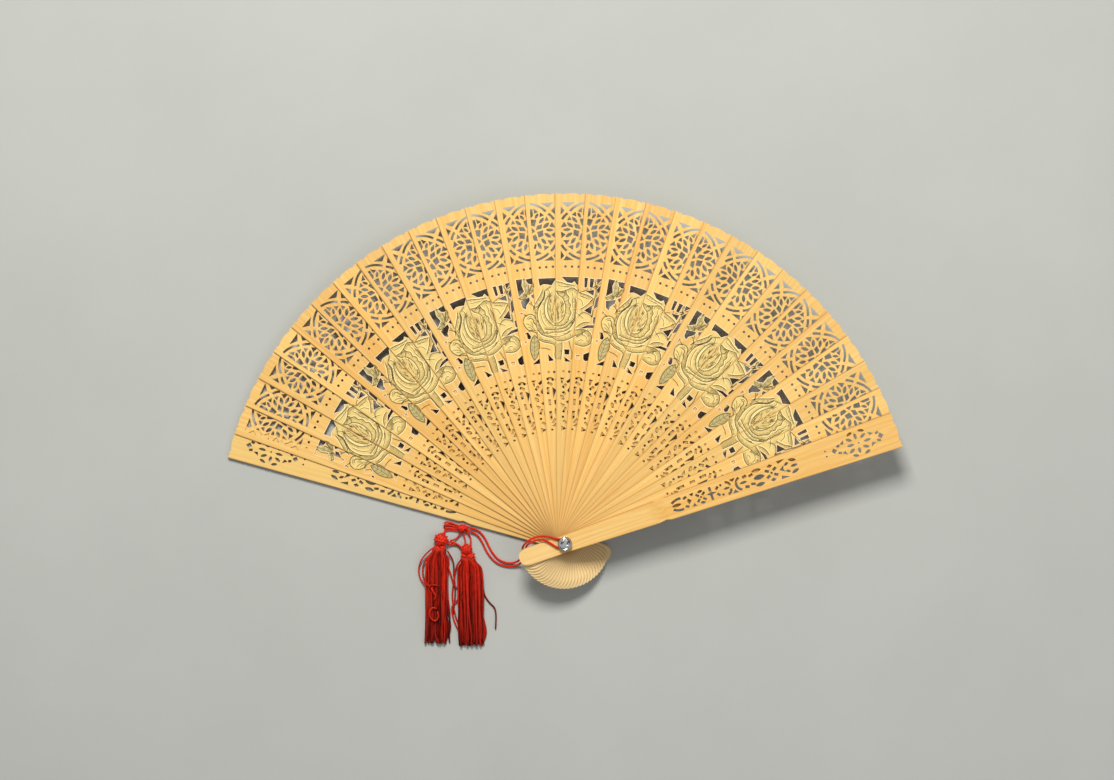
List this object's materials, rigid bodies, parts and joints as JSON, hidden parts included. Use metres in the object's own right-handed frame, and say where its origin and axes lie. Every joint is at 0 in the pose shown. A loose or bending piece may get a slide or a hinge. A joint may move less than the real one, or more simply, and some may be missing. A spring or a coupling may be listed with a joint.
{
  "type": "sandalwood folding fan",
  "caption": "Open folding fan of pierced wooden sticks painted with flowers, on one jewelled rivet with a red cord and two tassels.",
  "frame": {"origin": "centre of the rivet foot's flat back face, where the closed or open fan rests on a table", "axes": "+Z along the rivet towards the painted front; +X to the right across the open fan; +Y from the rivet towards the middle of the scalloped edge"},
  "size_m": [0.3477, 0.2341, 0.0273],
  "materials": {
    "guard_wood": "smooth satin sandalwood, slightly darker than the sticks",
    "stick_wood": "smooth thin sandalwood, fine straight grain along the stick",
    "rivet_metal": "polished nickel",
    "jewel_glass": "clear faceted",
    "ribbon_silk": "thin plain silk",
    "cord_satin": "twisted satin cord",
    "tassel_thread": "satin threads"
  },
  "bodies": {
    "back_and_rivet": {"back_guard": "guard_wood", "rivet_foot": "rivet_metal", "rivet_pin": "rivet_metal", "front_washer": "rivet_metal", "jewel_setting": "rivet_metal", "jewel": "jewel_glass", "cord_eye": "cord_satin", "cord_strand_a": "cord_satin", "cord_strand_b": "cord_satin", "bow_knot": "cord_satin", "bow_loops": "cord_satin", "tassel_links": "cord_satin", "tassel_left_head": "cord_satin", "tassel_left_skirt": "tassel_thread", "tassel_right_head": "cord_satin", "tassel_right_skirt": "tassel_thread"},
    "front_guard": {"front_guard": "guard_wood"},
    "stick_01": {"stick_01": "stick_wood"},
    "stick_02": {"stick_02": "stick_wood"},
    "stick_03": {"stick_03": "stick_wood"},
    "stick_04": {"stick_04": "stick_wood"},
    "stick_05": {"stick_05": "stick_wood"},
    "stick_06": {"stick_06": "stick_wood"},
    "stick_07": {"stick_07": "stick_wood"},
    "stick_08": {"stick_08": "stick_wood"},
    "stick_09": {"stick_09": "stick_wood"},
    "stick_10": {"stick_10": "stick_wood"},
    "stick_11": {"stick_11": "stick_wood"},
    "stick_12": {"stick_12": "stick_wood"},
    "stick_13": {"stick_13": "stick_wood"},
    "stick_14": {"stick_14": "stick_wood"},
    "stick_15": {"stick_15": "stick_wood"},
    "stick_16": {"stick_16": "stick_wood"},
    "stick_17": {"stick_17": "stick_wood"},
    "stick_18": {"stick_18": "stick_wood"},
    "stick_19": {"stick_19": "stick_wood"},
    "stick_20": {"stick_20": "stick_wood"},
    "stick_21": {"stick_21": "stick_wood"},
    "stick_22": {"stick_22": "stick_wood"},
    "stick_23": {"stick_23": "stick_wood"},
    "stick_24": {"stick_24": "stick_wood"},
    "stick_25": {"stick_25": "stick_wood"},
    "stick_26": {"stick_26": "stick_wood"},
    "stick_27": {"stick_27": "stick_wood"},
    "stick_28": {"stick_28": "stick_wood"}
  },
  "joints": [
    {"name": "front_guard_fold", "type": "hinge", "parent": "back_and_rivet", "child": "front_guard", "pos_m": [0, 0, 0], "axis": [0, 0, 1], "range_deg": [0, 144.1]},
    {"name": "stick_01_fold", "type": "hinge", "parent": "back_and_rivet", "child": "stick_01", "pos_m": [0, 0, 0], "axis": [0, 0, 1], "range_deg": [0, 4.1]},
    {"name": "stick_02_fold", "type": "hinge", "parent": "back_and_rivet", "child": "stick_02", "pos_m": [0, 0, 0], "axis": [0, 0, 1], "range_deg": [0, 9.12]},
    {"name": "stick_03_fold", "type": "hinge", "parent": "back_and_rivet", "child": "stick_03", "pos_m": [0, 0, 0], "axis": [0, 0, 1], "range_deg": [0, 14.14]},
    {"name": "stick_04_fold", "type": "hinge", "parent": "back_and_rivet", "child": "stick_04", "pos_m": [0, 0, 0], "axis": [0, 0, 1], "range_deg": [0, 19.17]},
    {"name": "stick_05_fold", "type": "hinge", "parent": "back_and_rivet", "child": "stick_05", "pos_m": [0, 0, 0], "axis": [0, 0, 1], "range_deg": [0, 24.19]},
    {"name": "stick_06_fold", "type": "hinge", "parent": "back_and_rivet", "child": "stick_06", "pos_m": [0, 0, 0], "axis": [0, 0, 1], "range_deg": [0, 29.21]},
    {"name": "stick_07_fold", "type": "hinge", "parent": "back_and_rivet", "child": "stick_07", "pos_m": [0, 0, 0], "axis": [0, 0, 1], "range_deg": [0, 34.23]},
    {"name": "stick_08_fold", "type": "hinge", "parent": "back_and_rivet", "child": "stick_08", "pos_m": [0, 0, 0], "axis": [0, 0, 1], "range_deg": [0, 39.26]},
    {"name": "stick_09_fold", "type": "hinge", "parent": "back_and_rivet", "child": "stick_09", "pos_m": [0, 0, 0], "axis": [0, 0, 1], "range_deg": [0, 44.28]},
    {"name": "stick_10_fold", "type": "hinge", "parent": "back_and_rivet", "child": "stick_10", "pos_m": [0, 0, 0], "axis": [0, 0, 1], "range_deg": [0, 49.3]},
    {"name": "stick_11_fold", "type": "hinge", "parent": "back_and_rivet", "child": "stick_11", "pos_m": [0, 0, 0], "axis": [0, 0, 1], "range_deg": [0, 54.32]},
    {"name": "stick_12_fold", "type": "hinge", "parent": "back_and_rivet", "child": "stick_12", "pos_m": [0, 0, 0], "axis": [0, 0, 1], "range_deg": [0, 59.34]},
    {"name": "stick_13_fold", "type": "hinge", "parent": "back_and_rivet", "child": "stick_13", "pos_m": [0, 0, 0], "axis": [0, 0, 1], "range_deg": [0, 64.37]},
    {"name": "stick_14_fold", "type": "hinge", "parent": "back_and_rivet", "child": "stick_14", "pos_m": [0, 0, 0], "axis": [0, 0, 1], "range_deg": [0, 69.39]},
    {"name": "stick_15_fold", "type": "hinge", "parent": "back_and_rivet", "child": "stick_15", "pos_m": [0, 0, 0], "axis": [0, 0, 1], "range_deg": [0, 74.41]},
    {"name": "stick_16_fold", "type": "hinge", "parent": "back_and_rivet", "child": "stick_16", "pos_m": [0, 0, 0], "axis": [0, 0, 1], "range_deg": [0, 79.43]},
    {"name": "stick_17_fold", "type": "hinge", "parent": "back_and_rivet", "child": "stick_17", "pos_m": [0, 0, 0], "axis": [0, 0, 1], "range_deg": [0, 84.46]},
    {"name": "stick_18_fold", "type": "hinge", "parent": "back_and_rivet", "child": "stick_18", "pos_m": [0, 0, 0], "axis": [0, 0, 1], "range_deg": [0, 89.48]},
    {"name": "stick_19_fold", "type": "hinge", "parent": "back_and_rivet", "child": "stick_19", "pos_m": [0, 0, 0], "axis": [0, 0, 1], "range_deg": [0, 94.5]},
    {"name": "stick_20_fold", "type": "hinge", "parent": "back_and_rivet", "child": "stick_20", "pos_m": [0, 0, 0], "axis": [0, 0, 1], "range_deg": [0, 99.52]},
    {"name": "stick_21_fold", "type": "hinge", "parent": "back_and_rivet", "child": "stick_21", "pos_m": [0, 0, 0], "axis": [0, 0, 1], "range_deg": [0, 104.54]},
    {"name": "stick_22_fold", "type": "hinge", "parent": "back_and_rivet", "child": "stick_22", "pos_m": [0, 0, 0], "axis": [0, 0, 1], "range_deg": [0, 109.57]},
    {"name": "stick_23_fold", "type": "hinge", "parent": "back_and_rivet", "child": "stick_23", "pos_m": [0, 0, 0], "axis": [0, 0, 1], "range_deg": [0, 114.59]},
    {"name": "stick_24_fold", "type": "hinge", "parent": "back_and_rivet", "child": "stick_24", "pos_m": [0, 0, 0], "axis": [0, 0, 1], "range_deg": [0, 119.61]},
    {"name": "stick_25_fold", "type": "hinge", "parent": "back_and_rivet", "child": "stick_25", "pos_m": [0, 0, 0], "axis": [0, 0, 1], "range_deg": [0, 124.63]},
    {"name": "stick_26_fold", "type": "hinge", "parent": "back_and_rivet", "child": "stick_26", "pos_m": [0, 0, 0], "axis": [0, 0, 1], "range_deg": [0, 129.66]},
    {"name": "stick_27_fold", "type": "hinge", "parent": "back_and_rivet", "child": "stick_27", "pos_m": [0, 0, 0], "axis": [0, 0, 1], "range_deg": [0, 134.68]},
    {"name": "stick_28_fold", "type": "hinge", "parent": "back_and_rivet", "child": "stick_28", "pos_m": [0, 0, 0], "axis": [0, 0, 1], "range_deg": [0, 139.7]}
  ],
  "couplings": [
    {"joint": "stick_01_fold", "follows": "front_guard_fold", "ratio": 0.027065},
    {"joint": "stick_02_fold", "follows": "front_guard_fold", "ratio": 0.061917},
    {"joint": "stick_03_fold", "follows": "front_guard_fold", "ratio": 0.096769},
    {"joint": "stick_04_fold", "follows": "front_guard_fold", "ratio": 0.13162},
    {"joint": "stick_05_fold", "follows": "front_guard_fold", "ratio": 0.16647},
    {"joint": "stick_06_fold", "follows": "front_guard_fold", "ratio": 0.20133},
    {"joint": "stick_07_fold", "follows": "front_guard_fold", "ratio": 0.23618},
    {"joint": "stick_08_fold", "follows": "front_guard_fold", "ratio": 0.27103},
    {"joint": "stick_09_fold", "follows": "front_guard_fold", "ratio": 0.30588},
    {"joint": "stick_10_fold", "follows": "front_guard_fold", "ratio": 0.34074},
    {"joint": "stick_11_fold", "follows": "front_guard_fold", "ratio": 0.37559},
    {"joint": "stick_12_fold", "follows": "front_guard_fold", "ratio": 0.41044},
    {"joint": "stick_13_fold", "follows": "front_guard_fold", "ratio": 0.44529},
    {"joint": "stick_14_fold", "follows": "front_guard_fold", "ratio": 0.48014},
    {"joint": "stick_15_fold", "follows": "front_guard_fold", "ratio": 0.515},
    {"joint": "stick_16_fold", "follows": "front_guard_fold", "ratio": 0.54985},
    {"joint": "stick_17_fold", "follows": "front_guard_fold", "ratio": 0.5847},
    {"joint": "stick_18_fold", "follows": "front_guard_fold", "ratio": 0.61955},
    {"joint": "stick_19_fold", "follows": "front_guard_fold", "ratio": 0.65441},
    {"joint": "stick_20_fold", "follows": "front_guard_fold", "ratio": 0.68926},
    {"joint": "stick_21_fold", "follows": "front_guard_fold", "ratio": 0.72411},
    {"joint": "stick_22_fold", "follows": "front_guard_fold", "ratio": 0.75896},
    {"joint": "stick_23_fold", "follows": "front_guard_fold", "ratio": 0.79382},
    {"joint": "stick_24_fold", "follows": "front_guard_fold", "ratio": 0.82867},
    {"joint": "stick_25_fold", "follows": "front_guard_fold", "ratio": 0.86352},
    {"joint": "stick_26_fold", "follows": "front_guard_fold", "ratio": 0.89837},
    {"joint": "stick_27_fold", "follows": "front_guard_fold", "ratio": 0.93322},
    {"joint": "stick_28_fold", "follows": "front_guard_fold", "ratio": 0.96808}
  ]
}
